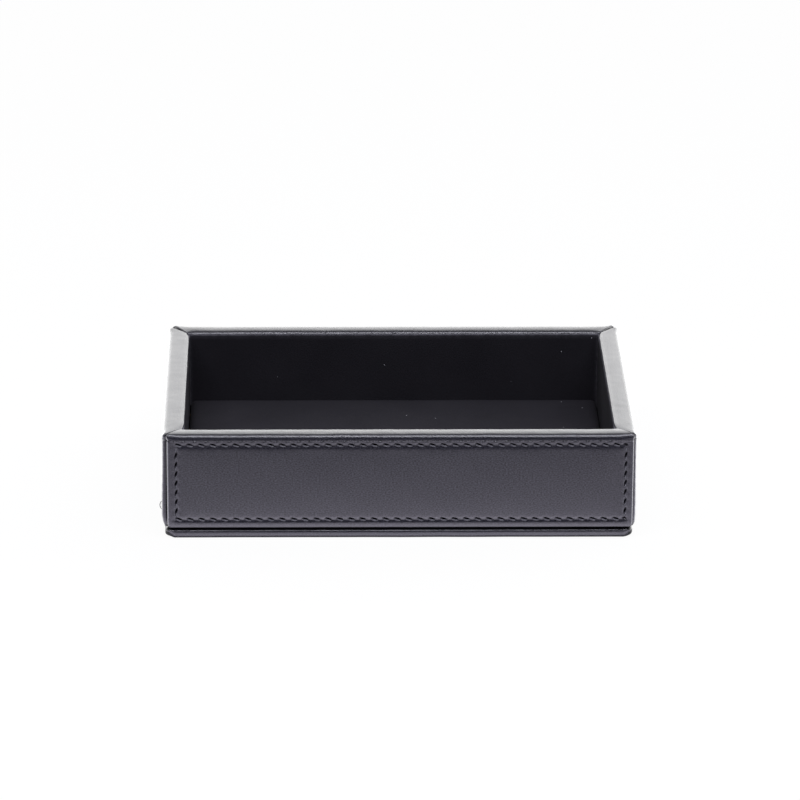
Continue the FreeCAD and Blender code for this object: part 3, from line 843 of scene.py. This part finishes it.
def folded_end(place, facing, sign, fold):
    """The rounding of a wrapped end and the flat part of it inside the mitre."""
    seam = np.array([sign, 1.0, 0.0]) / math.sqrt(2)
    turn = math.acos(np.clip(facing @ seam, -1, 1))
    centre = place - fold * facing
    curve = [
        centre + fold * (math.sin((1 - s) * turn) * facing + math.sin(s * turn) * seam) / math.sin(turn)
        for s in FOLD_STEPS[1:]
    ]
    inwards = facing - (facing @ seam) * seam
    curve.append(curve[-1] - TUCK * inwards / np.linalg.norm(inwards))
    return np.array(curve)


def face_and_holes(x, level, run, side, seed):
    """The relief of the outer face with the shape of its foot, and where it has holes."""
    relief, holes = face_relief(x, level, run, side, seed)
    full = smooth((FULL_LEVELS[0] - level) / (FULL_LEVELS[0] - FULL_LEVELS[1]))
    drawn = smooth((cover_low.z + DRAWN_HEIGHT - level) / DRAWN_HEIGHT)
    return relief + FULL_FOOT[side] * full - DRAWN_FOOT[side] * drawn, holes


def rim_relief(kind, value, side, up, to_seam, lift):
    """How far the rim stands up at its tips and its outer edge, and how far it bulges inwards."""
    raised = OUTER_RISE[side] + lift * np.exp(-to_seam / TIP_REACH)
    dip = SEAM_DIP * np.exp(-to_seam / SEAM_DIP_REACH) if side in ("left", "right") else 0
    if kind == "rim":
        return raised * np.clip(up, 0, 1)
    if kind == "top":
        return raised * (1 - value) - dip
    if kind == "inner_rim":
        return INNER_BULGE[side] * math.sin(math.radians(value)) * smooth(to_seam / CORNER_REACH) - dip
    return 0


def wall_cover(side, seed):
    angle, run, stand_off = RUNS[side]
    half, inner_end = run / 2 - COLUMN_INSET, run / 2 - END_ZONE
    face_ends = [run / 2 - (1 + math.sqrt(2)) * fold for fold in FOLDS[side]]
    holes_along = SEWN_OFF_CENTRE[side] + np.concatenate([[-half], row_holes(side)])
    straight = np.append(spaced_round_holes(holes_along, -face_ends[0], face_ends[1]), face_ends[1])
    face_end, side_fold, top_fold, lift = (
        np.where(straight > 0, at_high_end, at_low_end)
        for at_low_end, at_high_end in (face_ends, FOLDS[side], TOP_FOLDS[side], CORNER_LIFTS[side])
    )
    share = np.clip((np.abs(straight) - inner_end) / (face_end - inner_end), 0, 1)
    crest = FOLD_HIGHLIGHT * np.exp(-((FOLD_STEPS[1:] - FOLD_CREST) / FOLD_CREST_WIDTH) ** 2)
    rows, wear_and_highlight, hollow = [], [], []
    for kind, value in cover_rows():
        far_from_corner = section_point((kind, value), np.array([RIM]), np.array([INNER_RIM[side]]))
        depth, _, out, up = (part[0] for part in far_from_corner)
        fold = side_fold * (1 - (1 - top_fold) * max(up, 0))
        reach = run / 2 - depth + fold * out - math.sqrt(2) * fold
        x = np.where(share > 0, np.sign(straight) * (inner_end + share * (reach - inner_end)), straight)
        to_seam = run / 2 - np.abs(x) - depth
        rim = RIM_AT_CORNER + (RIM - RIM_AT_CORNER) * smooth(to_seam / CORNER_REACH)
        inner = INNER_AT_CORNER + (INNER_RIM[side] - INNER_AT_CORNER) * smooth(to_seam / INNER_REACH)
        depth, level, out, up = section_point((kind, value), rim, inner)
        place = np.stack([x, depth - stand_off, level], axis=-1)
        relief = rippled(place, COVER_RIPPLES, seed)
        holes = np.zeros_like(x)
        if kind in ("foot", "face", "rim"):
            facing_out = np.clip(-out, 0, 1)
            relief_of_face, holes = face_and_holes(x, level, run, side, seed + 2)
            relief = relief * (1 - facing_out) + relief_of_face * facing_out
        relief = relief + rim_relief(kind, value, side, up, to_seam, lift)
        place[:, 1] += relief * out
        place[:, 2] += relief * up
        ends = [
            folded_end(place[index], np.array([0.0, out[index], up[index]]), sign, fold[index])
            for index, sign in ((0, -1), (-1, 1))
        ]
        # A painted highlight along the crest of each fold, on its upright part
        fold_highlight = np.append(crest * (1 - max(up[0], 0)), 0.0)
        wear = SEAM_WEAR * np.exp(-to_seam / SEAM_WEAR_REACH)
        rows.append(np.concatenate([ends[0][::-1], place, ends[1]]))
        wear_and_highlight.append(np.concatenate([fold_highlight[::-1], wear, fold_highlight]))
        hollow.append(np.pad(holes, (len(ends[0]), len(ends[1]))))
    points = np.array(rows)
    count, columns = points.shape[:2]
    faces = grid_faces(count, columns, wrap_rows=True)
    faces.append(tuple(row * columns for row in range(count)))
    faces.append(tuple(row * columns + columns - 1 for row in range(count - 1, -1, -1)))
    across = lengths_along(points[:, columns // 2])
    piece = make_mesh(f"{side}_cover_leather", points.reshape(-1, 3), faces, leather, angle)
    lay_hide(piece, points[:, :, 0], np.repeat(across[:, None], columns, axis=1))
    paint(piece, "wear_and_highlight", np.array(wear_and_highlight))
    paint(piece, "hole", np.array(hollow))
    return piece


for seed, side in enumerate(SIDES):
    fit(wall_cover(side, 100 + 10 * seed), "leather", f"{side}_cover")


# Wall stitching
# Bonded black thread, machine sewn about four millimetres a stitch. Each stitch lies in the groove
# at a slight slant, just below its slot, with both ends drawn into the leather, and its plies shine
# a little where they are not hidden.
THREAD_PLIES = 2
THREAD_TWISTS = 3.5        # turns of the plies along one stitch
PLY_DEPTH = 0.05           # depth of the furrows between the plies, mm
STITCH_SHARE = 0.72        # length of a stitch as a share of the spacing
STITCH_RADIUS = 0.3 * MM
STITCH_SINK = 0.6 * MM     # how deep its ends are, and how far its middle stands out
STITCH_PROUD = 0.22 * MM
STITCH_BED = GROOVE_DEPTH + 0.12 * MM   # how deep it lies under the leather's flat face
STITCH_SLANT = math.radians(13)
STITCH_UNEVEN = (0.04, 0.09, 0.04)      # how much each stitch may lean, in radians
ROW_SHIFT = HOLE_SHIFT + 0.15 * MM      # the stitches of a row start this far from the corner
ROW_DROP = 0.18 * MM                    # and lie this far below the line
COLUMN_SINK = 0.15 * MM                 # those of a column lie deeper by this
LOOSE_LEVELS = (9.6 * MM, 13.4 * MM)    # where a thin loop of thread hangs out of the left wall
LOOSE_RADIUS, LOOSE_SINK, LOOSE_PROUD = 0.13 * MM, 0.3 * MM, 1.0 * MM


def thread_relief(tree):
    """The plies, as slanting ridges round the thread."""
    along = node(tree, "ShaderNodeAttribute", attribute_name="thread")
    parts = node(tree, "ShaderNodeSeparateXYZ", {"Vector": along.outputs["Vector"]})
    slant = node(tree, "ShaderNodeMath", {
        0: parts.outputs["X"], 1: THREAD_TWISTS, 2: parts.outputs["Y"],
    }, operation="MULTIPLY_ADD")
    turns = node(tree, "ShaderNodeMath", {
        0: slant.outputs[0], 1: THREAD_PLIES * 2 * math.pi,
    }, operation="MULTIPLY")
    plies = node(tree, "ShaderNodeMath", {0: turns.outputs[0]}, operation="SINE")
    return node(tree, "ShaderNodeBump", {
        "Height": plies.outputs[0], "Distance": PLY_DEPTH * MM,
    }).outputs["Normal"]


thread = surface(
    "bonded_black_thread", speckled("#55545b", "#696870", 0.5), 0.38, thread_relief,
    **{"Specular IOR Level": 0.5, "Sheen Weight": 0.05, "Sheen Roughness": 0.4},
)


def one_stitch(length, radius, sink, proud):
    """A bow of thread along X, with its ends drawn in towards +Y and its middle out towards -Y."""
    rings, sides = 9, 6
    points, marks = [], []
    for ring in range(rings):
        share = ring / (rings - 1)
        lift = math.sin(share * math.pi) ** 0.5
        thickness = radius * (0.6 + 0.4 * min(1.0, 3 * math.sin(share * math.pi)))
        centre_y = sink * (1 - lift) - proud * lift
        for corner in range(sides):
            around = 2 * math.pi * corner / sides
            points.append((
                (share - 0.5) * length,
                centre_y + thickness * math.cos(around),
                thickness * math.sin(around),
            ))
            marks.append((share, corner / sides, 0.0))
    faces = grid_faces(rings, sides, wrap_columns=True)
    faces += [tuple(range(sides)), tuple(range(rings * sides - 1, (rings - 1) * sides - 1, -1))]
    piece = make_mesh("stitch", points, faces, thread)
    attribute = piece.data.attributes.new("thread", "FLOAT_VECTOR", "POINT")
    attribute.data.foreach_set("vector", np.array(marks, dtype=float).ravel())
    return piece


def stitch_tree():
    """Four straight lines of stitches round a rectangle on a wall's outer face."""
    tree = bpy.data.node_groups.new("stitched_rectangle", "GeometryNodeTree")
    sizes = (
        "Row start", "Upper row", "Lower row", "Row spacing", "Row depth", "Row turn",
        "Left column", "Right column", "Column start", "Column spacing", "Column depth", "Column turn",
    )
    counts = ("Row stitches", "Column stitches", "Seed")
    for kind, names in (
        ("Object", ("Stitch",)), ("Material", ("Thread",)), ("Float", sizes), ("Int", counts),
    ):
        for name in names:
            tree.interface.new_socket(name, in_out="INPUT", socket_type=f"NodeSocket{kind}")
    tree.interface.new_socket("Geometry", in_out="OUTPUT", socket_type="NodeSocketGeometry")
    given = node(tree, "NodeGroupInput").outputs
    stitch = node(tree, "GeometryNodeObjectInfo", {"Object": given["Stitch"]})
    joined = node(tree, "GeometryNodeJoinGeometry")
    lines = (
        ("Row", "X", given["Row start"], given["Upper row"]),
        ("Row", "X", given["Row start"], given["Lower row"]),
        ("Column", "Z", given["Left column"], given["Column start"]),
        ("Column", "Z", given["Right column"], given["Column start"]),
    )
    for number, (kind, along, x, z) in enumerate(lines):
        spacing = given[f"{kind} spacing"]
        start = node(tree, "ShaderNodeCombineXYZ", {"X": x, "Y": given[f"{kind} depth"], "Z": z})
        step = node(tree, "ShaderNodeCombineXYZ", {along: spacing})
        line = node(tree, "GeometryNodeMeshLine", {
            "Count": given[f"{kind} stitches"], "Start Location": start.outputs[0],
            "Offset": step.outputs[0],
        }, mode="OFFSET")
        seed = node(tree, "ShaderNodeMath", {0: given["Seed"], 1: float(number)}, operation="ADD")
        uneven = node(tree, "FunctionNodeRandomValue", {
            "Min": tuple(-lean for lean in STITCH_UNEVEN), "Max": STITCH_UNEVEN,
            "Seed": seed.outputs[0],
        }, data_type="FLOAT_VECTOR")
        turn = node(tree, "ShaderNodeCombineXYZ", {"Y": given[f"{kind} turn"]})
        rotation = node(tree, "ShaderNodeVectorMath", {
            0: turn.outputs[0], 1: uneven.outputs["Value"],
        }, operation="ADD")
        scale = node(tree, "ShaderNodeCombineXYZ", {"X": spacing, "Y": 1.0, "Z": 1.0})
        placed = node(tree, "GeometryNodeInstanceOnPoints", {
            "Points": line.outputs["Mesh"], "Instance": stitch.outputs["Geometry"],
            "Rotation": rotation.outputs[0], "Scale": scale.outputs[0],
        })
        tree.links.new(placed.outputs["Instances"], joined.inputs["Geometry"])
    whole = node(tree, "GeometryNodeRealizeInstances", {"Geometry": joined.outputs["Geometry"]})
    dyed = node(tree, "GeometryNodeSetMaterial", {
        "Geometry": whole.outputs["Geometry"], "Material": given["Thread"],
    })
    node(tree, "NodeGroupOutput", {"Geometry": dyed.outputs["Geometry"]})
    return tree


STITCH_TREE = stitch_tree()
STITCH = one_stitch(STITCH_SHARE, STITCH_RADIUS, STITCH_SINK, STITCH_PROUD)


def add_loose_loop(mesh, run, stand_off):
    """A slack end of thread that stands out as a thin loop near the front end of the wall."""
    low, high = LOOSE_LEVELS
    loop = one_stitch(high - low, LOOSE_RADIUS, LOOSE_SINK, LOOSE_PROUD)
    place = Matrix.Translation((run / 2 - COLUMN_INSET, -stand_off, (low + high) / 2))
    loop.data.transform(place @ Matrix.Rotation(math.pi / 2, 4, "Y"))
    shape = bmesh.new()
    shape.from_mesh(mesh)
    shape.from_mesh(loop.data)
    shape.to_mesh(mesh)
    shape.free()
    bpy.data.objects.remove(loop)


def wall_stitching(side, seed):
    angle, run, stand_off = RUNS[side]
    half, depth = run / 2 - COLUMN_INSET, STITCH_BED - stand_off
    lower, upper = ROW_LEVELS
    column_spacing = (upper - lower) / COLUMN_STITCHES
    holder = bpy.data.objects.new(f"{side}_stitch_lines", bpy.data.meshes.new(f"{side}_stitch_lines"))
    bpy.context.scene.collection.objects.link(holder)
    modifier = holder.modifiers.new("stitches", "NODES")
    modifier.node_group = STITCH_TREE
    values = {
        "Stitch": STITCH, "Thread": thread, "Seed": seed,
        "Row start": ROW_SHIFT - half, "Upper row": upper - ROW_DROP, "Lower row": lower - ROW_DROP,
        "Row spacing": 2 * half / ROW_STITCHES[side], "Row stitches": ROW_STITCHES[side],
        "Row depth": depth, "Row turn": STITCH_SLANT,
        "Left column": -half, "Right column": half, "Column start": lower + column_spacing / 2,
        "Column spacing": column_spacing, "Column stitches": COLUMN_STITCHES,
        "Column depth": depth + COLUMN_SINK, "Column turn": STITCH_SLANT + math.pi / 2,
    }
    for item in STITCH_TREE.interface.items_tree:
        if item.in_out == "INPUT":
            modifier[item.identifier] = values[item.name]
    evaluated = holder.evaluated_get(bpy.context.evaluated_depsgraph_get())
    mesh = bpy.data.meshes.new_from_object(evaluated)
    mesh.name = f"{side}_stitching_thread"
    if side == "left":
        add_loose_loop(mesh, run, stand_off)
    mesh.transform(Matrix.Translation((SEWN_OFF_CENTRE[side], 0, 0)))
    mesh.transform(Matrix.Rotation(math.radians(angle), 4, "Z"))
    bpy.data.objects.remove(holder)
    piece = bpy.data.objects.new(f"{side}_stitching_thread", mesh)
    bpy.context.scene.collection.objects.link(piece)
    return piece


for seed, side in enumerate(SIDES):
    fit(wall_stitching(side, 200 + 10 * seed), "thread", f"{side}_stitching")
bpy.data.objects.remove(STITCH)


# Floor, light and camera
# A white paper sweep that goes on past the picture, one soft lamp high in front, a low white card
# behind that is brighter on the right, and the camera in front, a little to the left.
SWEEP = 3.0
# How bright the paper glows in the leather, painted light: it brightens towards the tray, most of all on a
# strip before the base and a little way out beside it, with a painted shadow where the base stands on it
PAPER_LIGHT = {"From Min": -0.24, "From Max": -0.06, "To Min": 0.4, "To Max": 1.33}
STRIP, STRIP_LIGHT = {"From Min": -0.09, "From Max": -0.06}, 1.25
BESIDE, BESIDE_LIGHT = {"From Min": 2 * MM, "From Max": 20 * MM}, 1.2
CONTACT = {"From Min": 0.5 * MM, "From Max": 2.5 * MM, "To Min": 0.15}
END_CONTACT = 0.35         # what a distance from the ends counts for, as the shade reaches further
PAPER_SHARE = 0.95         # how much of the paper's white is its own
# Where the card fades out above, towards the front and to the left, how it brightens to the right
# and away from the middle, and the dim room in front
CARD_TOP = {"From Min": 0.53, "From Max": 0.87, "To Min": 1.0, "To Max": 0.0}
CARD_FRONT = {"From Min": -0.2, "From Max": 0.35}
CARD_LEFT = {"From Min": -0.75, "From Max": -0.4, "To Min": 0.3}
CARD_RIGHT = {"From Min": 0.4, "From Max": 0.75, "To Min": 1.0, "To Max": 1.6}
CARD_LIGHT = {"From Min": 0.0, "From Max": 0.35, "To Min": 1.65, "To Max": 1.9}
ROOM = {"From Min": -0.75, "From Max": -0.25, "To Min": 0.01, "To Max": 0.25}

floor_mesh = bpy.data.meshes.new("sweep")
floor_mesh.from_pydata(
    [(-SWEEP, -SWEEP, 0), (SWEEP, -SWEEP, 0), (SWEEP, SWEEP, 0), (-SWEEP, SWEEP, 0)], [], [(0, 1, 2, 3)]
)
sweep = bpy.data.objects.new("sweep", floor_mesh)
bpy.context.scene.collection.objects.link(sweep)

paper = bpy.data.materials.new("white_paper_sweep")
paper.use_nodes = True
tree = paper.node_tree
tree.nodes.clear()
ray = node(tree, "ShaderNodeLightPath").outputs
place = node(tree, "ShaderNodeTexCoord")
axes = node(tree, "ShaderNodeSeparateXYZ", {"Vector": place.outputs["Object"]}).outputs
beside = node(tree, "ShaderNodeMath", {0: axes["Y"], 1: -base_high.y}, operation="GREATER_THAN").outputs[0]
before = node(tree, "ShaderNodeMath", {0: 1.0, 1: beside}, operation="SUBTRACT")
from_middle = [
    node(tree, "ShaderNodeMath", {0: axes[axis]}, operation="ABSOLUTE").outputs[0] for axis in ("X", "Y")
]
away_x, away_y = (
    node(tree, "ShaderNodeMath", {0: distance, 1: half}, operation="SUBTRACT").outputs[0]
    for distance, half in zip(from_middle, (base_high.x, base_high.y))
)

lit = node(tree, "ShaderNodeMapRange", {"Value": axes["Y"], **PAPER_LIGHT})
near = node(tree, "ShaderNodeMapRange", {"Value": axes["Y"], **STRIP})
nearest = node(tree, "ShaderNodeMath", {0: near.outputs[0], 1: 2.0}, operation="POWER")
strip = node(tree, "ShaderNodeMath", {0: nearest.outputs[0], 1: before.outputs[0]}, operation="MULTIPLY")
aside = node(tree, "ShaderNodeMapRange", {"Value": away_x, **BESIDE})
sides = node(tree, "ShaderNodeMath", {0: aside.outputs[0], 1: beside}, operation="MULTIPLY")
for brighter, light in ((strip, STRIP_LIGHT), (sides, BESIDE_LIGHT)):
    lit = node(tree, "ShaderNodeMath", {
        0: brighter.outputs[0], 1: light, 2: lit.outputs[0],
    }, operation="MULTIPLY_ADD")
at_ends = node(tree, "ShaderNodeMath", {0: away_x, 1: END_CONTACT}, operation="MULTIPLY")
from_tray = node(tree, "ShaderNodeMath", {0: at_ends.outputs[0], 1: away_y}, operation="MAXIMUM")
contact = node(tree, "ShaderNodeMapRange", {
    "Value": from_tray.outputs[0], **CONTACT,
}, interpolation_type="SMOOTHSTEP")
mirrored = node(tree, "ShaderNodeMath", {0: lit.outputs[0], 1: contact.outputs[0]}, operation="MULTIPLY")
strength = node(tree, "ShaderNodeMix", {
    "Factor": ray["Is Camera Ray"], "A": mirrored.outputs[0], "B": 1.0,
}, data_type="FLOAT")
plain = node(tree, "ShaderNodeMath", {0: ray["Is Camera Ray"], 1: beside}, operation="MAXIMUM")
# In the leather, the paper before the tray glows faintly blue, a painted tint of light
tint = node(tree, "ShaderNodeMix", {
    "Factor": plain.outputs[0], "A": linear("#f2edff"), "B": linear("#ffffff"),
}, data_type="RGBA")
white = node(tree, "ShaderNodeEmission", {
    "Color": tint.outputs["Result"], "Strength": strength.outputs["Result"],
})
matt = node(tree, "ShaderNodeBsdfDiffuse", {"Color": linear("#f4f4f4")})
direct = node(tree, "ShaderNodeMath", {
    0: ray["Is Camera Ray"], 1: ray["Is Glossy Ray"],
}, operation="MAXIMUM")
seen = node(tree, "ShaderNodeMath", {0: direct.outputs[0], 1: PAPER_SHARE}, operation="MULTIPLY")
mixed = node(tree, "ShaderNodeMixShader", {0: seen.outputs[0], 1: matt.outputs[0], 2: white.outputs[0]})
node(tree, "ShaderNodeOutputMaterial", {"Surface": mixed.outputs[0]})
floor_mesh.materials.append(paper)

world = bpy.data.worlds.new("studio")
bpy.context.scene.world = world
world.use_nodes = True
tree = world.node_tree
tree.nodes.clear()
ray = node(tree, "ShaderNodeLightPath").outputs
direction = node(tree, "ShaderNodeTexCoord")
axes = node(tree, "ShaderNodeSeparateXYZ", {"Vector": direction.outputs["Generated"]}).outputs
low, behind, room = (
    node(tree, "ShaderNodeMapRange", {
        "Value": axes[axis], **fade,
    }, interpolation_type="SMOOTHSTEP").outputs[0]
    for axis, fade in (("Z", CARD_TOP), ("Y", CARD_FRONT), ("Y", ROOM))
)
on_the_left, on_the_right = (
    node(tree, "ShaderNodeMapRange", {"Value": axes["X"], **fade}).outputs[0]
    for fade in (CARD_LEFT, CARD_RIGHT)
)
card = 1.0
for share in (low, behind, on_the_left, on_the_right):
    card = node(tree, "ShaderNodeMath", {0: card, 1: share}, operation="MULTIPLY").outputs[0]
to_the_side = node(tree, "ShaderNodeMath", {0: axes["X"]}, operation="ABSOLUTE")
light = node(tree, "ShaderNodeMapRange", {"Value": to_the_side.outputs[0], **CARD_LIGHT})
glow = node(tree, "ShaderNodeMath", {0: card, 1: light.outputs[0], 2: room}, operation="MULTIPLY_ADD")
strength = node(tree, "ShaderNodeMix", {
    "Factor": ray["Is Camera Ray"], "A": glow.outputs[0], "B": 1.0,
}, data_type="FLOAT")
sky = node(tree, "ShaderNodeBackground", {
    "Color": linear("#ffffff"), "Strength": strength.outputs["Result"],
})
node(tree, "ShaderNodeOutputWorld", {"Surface": sky.outputs[0]})


def softbox(name, distance, azimuth, elevation, width, height, power):
    """A soft lamp that looks at the tray. Azimuth 0 is in front, and positive to the right."""
    lamp = bpy.data.lights.new(name, "AREA")
    lamp.shape = "RECTANGLE"
    lamp.size, lamp.size_y = width, height
    lamp.energy = power
    lamp.color = linear("#f3f3ff")[:3]
    holder = bpy.data.objects.new(name, lamp)
    across, up = math.radians(azimuth), math.radians(elevation)
    towards = Vector((
        math.sin(across) * math.cos(up), -math.cos(across) * math.cos(up), math.sin(up),
    ))
    holder.location = towards * distance
    holder.rotation_euler = towards.to_track_quat("Z", "Y").to_euler()
    holder.visible_camera = False
    bpy.context.scene.collection.objects.link(holder)


softbox("front_softbox", distance=1.1, azimuth=0, elevation=65, width=1.4, height=0.25, power=11.0)

PICTURE = 800              # width in pixels
SENSOR = 36.0              # and in millimetres
FOCAL_PIXELS = 5063
CAMERA_PLACE = Vector((-36.5, -1706.1, 659.5)) * MM
CAMERA_YAW, CAMERA_PITCH, CAMERA_ROLL = -1.269, 20.22, 0.355

camera = bpy.data.objects.new("camera", bpy.data.cameras.new("camera"))
camera.data.sensor_width = SENSOR
camera.data.lens = FOCAL_PIXELS * SENSOR / PICTURE
camera.matrix_world = (
    Matrix.Translation(CAMERA_PLACE)
    @ Matrix.Rotation(math.radians(CAMERA_YAW), 4, "Z")
    @ Matrix.Rotation(math.radians(90 - CAMERA_PITCH), 4, "X")
    @ Matrix.Rotation(math.radians(CAMERA_ROLL), 4, "Z")
)
camera.data.clip_start, camera.data.clip_end = 0.05, 20
bpy.context.scene.collection.objects.link(camera)
bpy.context.scene.camera = camera
bpy.context.scene.view_settings.view_transform = "Standard"
